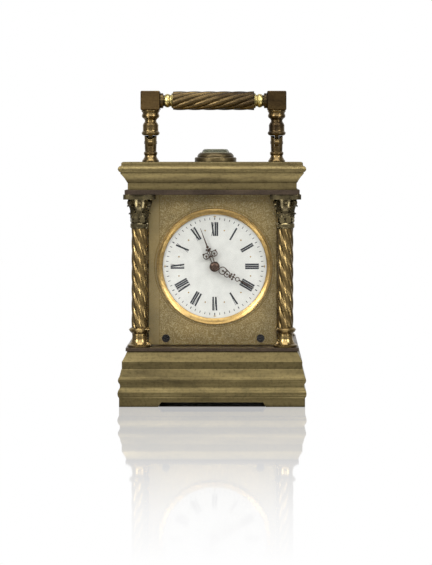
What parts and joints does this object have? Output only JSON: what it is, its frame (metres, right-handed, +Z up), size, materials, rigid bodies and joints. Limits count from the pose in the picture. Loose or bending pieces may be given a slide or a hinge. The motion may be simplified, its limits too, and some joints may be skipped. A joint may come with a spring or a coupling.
{
  "type": "carriage clock",
  "caption": "Four-column brass carriage clock with glazed case, folding handle, round enamel dial, pierced hands, rear door and platform lever movement",
  "frame": {"origin": "centre of the case in x and y, on the ground under the feet", "axes": "x to the right seen from the front, y from the dial to the back door, z up; the dial looks toward -y"},
  "size_m": [0.1018, 0.088, 0.1717],
  "materials": {
    "case_brass": "satin",
    "dark_plate": "satin",
    "mask_brass": "satin",
    "gilt": "polished",
    "movement_brass": "polished",
    "steel": "polished",
    "dark_steel": "satin",
    "hand_bronze": "satin",
    "capital_bronze": "satin",
    "enamel": "glossy",
    "clear_glass": "polished"
  },
  "bodies": {
    "case": {"base_moulding": "case_brass", "bottom_plate": "dark_plate", "top_plate": "dark_plate", "cornice": "case_brass", "column_shaft_1": "case_brass", "column_shaft_2": "case_brass", "column_shaft_3": "case_brass", "column_shaft_4": "case_brass", "column_bases": "case_brass", "column_capitals": "capital_bronze", "case_rods": "steel", "front_glass": "clear_glass", "left_glass": "clear_glass", "right_glass": "clear_glass", "rear_frame": "case_brass", "porthole_bezel": "gilt", "porthole_glass": "clear_glass", "handle_posts": "case_brass", "handle_post_nuts": "steel", "handle_pins": "steel", "dial_mask": "mask_brass", "mask_screws": "dark_steel", "dial_bezel": "gilt", "dial": "enamel", "front_plate": "movement_brass", "back_plate": "movement_brass", "pillars": "movement_brass", "plate_screws": "dark_steel", "movement_bearers": "movement_brass", "bearer_screws": "dark_steel", "platform": "movement_brass", "platform_screws": "dark_steel", "escape_cock": "movement_brass", "balance_cock": "movement_brass", "hairspring": "steel", "click_spring": "steel"},
    "handle": {"handle_legs": "case_brass", "handle_corners": "case_brass", "handle_grip": "case_brass"},
    "rear_door": {"door_frame": "case_brass", "door_glass": "clear_glass", "door_knob": "case_brass"},
    "barrel": {"barrel": "movement_brass", "mainspring": "steel"},
    "winding_arbor": {"barrel_arbor": "steel", "ratchet_wheel": "steel"},
    "click": {"click": "steel"},
    "intermediate": {"intermediate_wheel": "movement_brass"},
    "centre": {"centre_wheel": "movement_brass", "cannon_pinion": "steel", "minute_hand": "hand_bronze"},
    "minute_wheel": {"minute_wheel": "movement_brass"},
    "hour": {"hour_wheel": "movement_brass", "hour_hand": "hand_bronze"},
    "setting": {"setting_arbor": "steel"},
    "third": {"third_wheel": "movement_brass"},
    "contrate": {"contrate_wheel": "movement_brass"},
    "escape": {"escape_wheel": "steel"},
    "lever": {"lever": "steel"},
    "balance": {"balance_wheel": "movement_brass"}
  },
  "joints": [
    {"name": "handle_fold", "type": "hinge", "parent": "case", "child": "handle", "pos_m": [0, 0, 0.1428], "axis": [1, 0, 0], "range_deg": [-90, 90]},
    {"name": "door_swing", "type": "hinge", "parent": "case", "child": "rear_door", "pos_m": [-0.0282, 0.0317, 0.0726], "axis": [0, 0, 1], "range_deg": [0, 95]},
    {"name": "centre_turn", "type": "hinge", "parent": "case", "child": "centre", "pos_m": [0.0011, 0, 0.0747], "axis": [0, 1, 0], "continuous": true},
    {"name": "barrel_turn", "type": "hinge", "parent": "case", "child": "barrel", "pos_m": [-0.005, 0, 0.0524], "axis": [0, 1, 0], "continuous": true},
    {"name": "winding_turn", "type": "hinge", "parent": "case", "child": "winding_arbor", "pos_m": [-0.005, 0, 0.0524], "axis": [0, 1, 0], "continuous": true},
    {"name": "click_lift", "type": "hinge", "parent": "case", "child": "click", "pos_m": [0.0035, 0.0206, 0.0579], "axis": [0, 1, 0], "range_deg": [0, 10]},
    {"name": "intermediate_turn", "type": "hinge", "parent": "case", "child": "intermediate", "pos_m": [0.01127, 0, 0.065], "axis": [0, 1, 0], "continuous": true},
    {"name": "minute_wheel_turn", "type": "hinge", "parent": "case", "child": "minute_wheel", "pos_m": [-0.00514, -0.022, 0.0747], "axis": [0, 1, 0], "continuous": true},
    {"name": "hour_turn", "type": "hinge", "parent": "case", "child": "hour", "pos_m": [0.0011, 0, 0.0747], "axis": [0, 1, 0], "continuous": true},
    {"name": "setting_turn", "type": "hinge", "parent": "case", "child": "setting", "pos_m": [-0.0119, 0, 0.0747], "axis": [0, 1, 0], "continuous": true},
    {"name": "third_turn", "type": "hinge", "parent": "case", "child": "third", "pos_m": [0.00997, 0, 0.08364], "axis": [0, 1, 0], "continuous": true},
    {"name": "contrate_turn", "type": "hinge", "parent": "case", "child": "contrate", "pos_m": [0.002, 0, 0.09], "axis": [0, 1, 0], "continuous": true},
    {"name": "escape_turn", "type": "hinge", "parent": "case", "child": "escape", "pos_m": [0.002, 0.0096, 0.104], "axis": [0, 0, 1], "continuous": true},
    {"name": "lever_rock", "type": "hinge", "parent": "case", "child": "lever", "pos_m": [0.002, 0.0044, 0.104], "axis": [0, 0, 1], "range_deg": [-5, 5]},
    {"name": "balance_swing", "type": "hinge", "parent": "case", "child": "balance", "pos_m": [0.002, -0.003, 0.109], "axis": [0, 0, 1], "range_deg": [-220, 220]}
  ],
  "couplings": [
    {"joint": "centre_turn", "follows": "third_turn", "ratio": -0.125},
    {"joint": "barrel_turn", "follows": "third_turn", "ratio": -0.0037879},
    {"joint": "intermediate_turn", "follows": "third_turn", "ratio": 0.022727},
    {"joint": "contrate_turn", "follows": "third_turn", "ratio": -7.5},
    {"joint": "escape_turn", "follows": "third_turn", "ratio": -75},
    {"joint": "minute_wheel_turn", "follows": "third_turn", "ratio": 0.041667},
    {"joint": "hour_turn", "follows": "third_turn", "ratio": -0.010417},
    {"joint": "setting_turn", "follows": "third_turn", "ratio": -0.09375}
  ]
}
